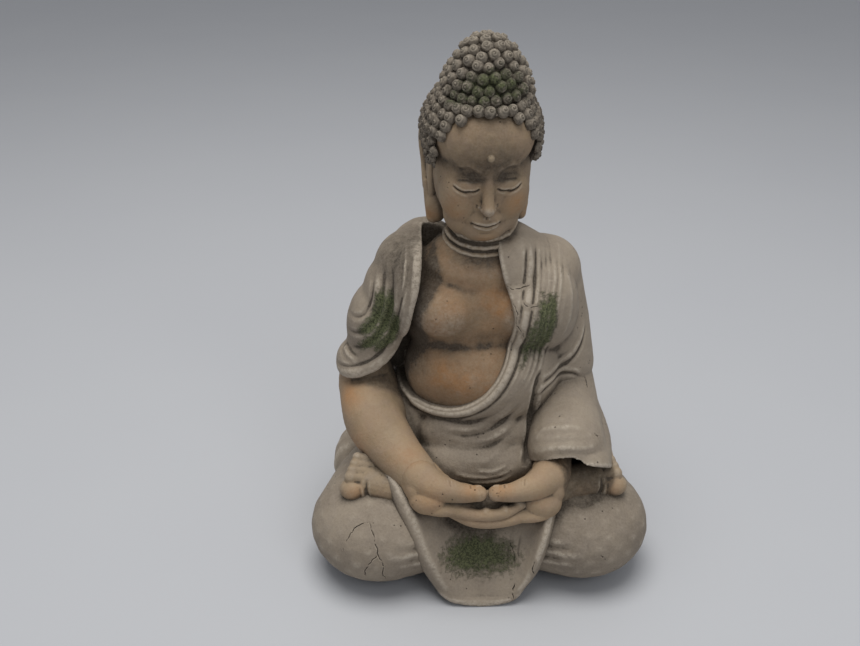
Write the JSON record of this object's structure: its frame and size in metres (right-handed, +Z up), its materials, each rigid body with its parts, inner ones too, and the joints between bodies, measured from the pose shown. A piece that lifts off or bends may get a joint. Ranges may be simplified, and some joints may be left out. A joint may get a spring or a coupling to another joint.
{
  "type": "seated meditation figure",
  "caption": "Hollow-cast garden figure of a seated Buddha in meditation, hands joined in the lap, robe over both shoulders, curled hair and topknot",
  "frame": {"origin": "centre of the bounding box, on the ground", "axes": "+Z up, the figure faces -Y, its right hand lies on the -X side"},
  "size_m": [0.2934, 0.223, 0.4395],
  "materials": {
    "robe_stone": "weathered cast stone, grey-beige with dark wash in the folds and moss patches",
    "skin_stone": "weathered cast stone with a rubbed terracotta tint",
    "hair_stone": "weathered cast stone, dark between the curls, mossy in front",
    "cement": "plain trowelled cement",
    "dowel_steel": "plain drawn rod"
  },
  "bodies": {
    "root": {"head": "skin_stone", "urna_bead": "skin_stone", "right_ear": "skin_stone", "left_ear": "skin_stone", "hair_cap": "hair_stone", "topknot": "hair_stone", "neck": "skin_stone", "neck_dowel": "dowel_steel", "trunk": "skin_stone", "right_shoulder_drape": "robe_stone", "left_robe_wrap": "robe_stone", "left_sleeve": "robe_stone", "right_forearm": "skin_stone", "right_hand": "skin_stone", "left_hand": "skin_stone", "right_leg": "robe_stone", "left_leg": "robe_stone", "right_foot": "skin_stone", "left_foot": "skin_stone", "back_skirt": "robe_stone", "lap_cloth": "robe_stone", "base_slab": "cement"}
  },
  "joints": []
}
